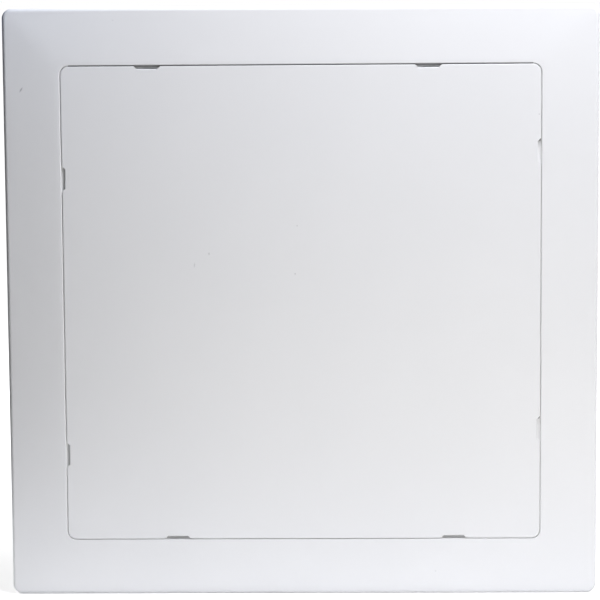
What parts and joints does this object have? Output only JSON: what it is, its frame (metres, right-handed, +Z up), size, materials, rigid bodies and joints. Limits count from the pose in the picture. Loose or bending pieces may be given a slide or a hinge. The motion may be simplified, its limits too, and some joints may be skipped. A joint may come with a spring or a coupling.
{
  "type": "ceiling access panel",
  "caption": "Square white plastic access panel for a ceiling or wall: a flanged frame and a flush lift-out door with pry notches round its edge, held by spring latches.",
  "frame": {"origin": "centre of the flange's back face, which is the plane of the ceiling or wall surface", "axes": "Stored upright as pictured: the front faces -Y, +Z is up in the picture, +X is to the right, and +Y runs into the cut-out. On a ceiling, -Y points down."},
  "size_m": [0.356, 0.0256, 0.356],
  "materials": {
    "white_abs": "satin moulded",
    "acetal": "natural, slightly waxy"
  },
  "bodies": {
    "frame": {"frame": "white_abs"},
    "door": {"door": "white_abs", "latch_top_left": "acetal", "latch_top_right": "acetal", "latch_right_upper": "acetal", "latch_right_lower": "acetal", "latch_bottom_right": "acetal", "latch_bottom_left": "acetal", "latch_left_lower": "acetal", "latch_left_upper": "acetal"}
  },
  "joints": [
    {"name": "door_lift", "type": "slide", "parent": "frame", "child": "door", "axis": [0, -1, 0], "range_m": [0, 0.1], "deforming": ["latch_top_left", "latch_top_right", "latch_right_upper", "latch_right_lower", "latch_bottom_right", "latch_bottom_left", "latch_left_lower", "latch_left_upper"]}
  ]
}
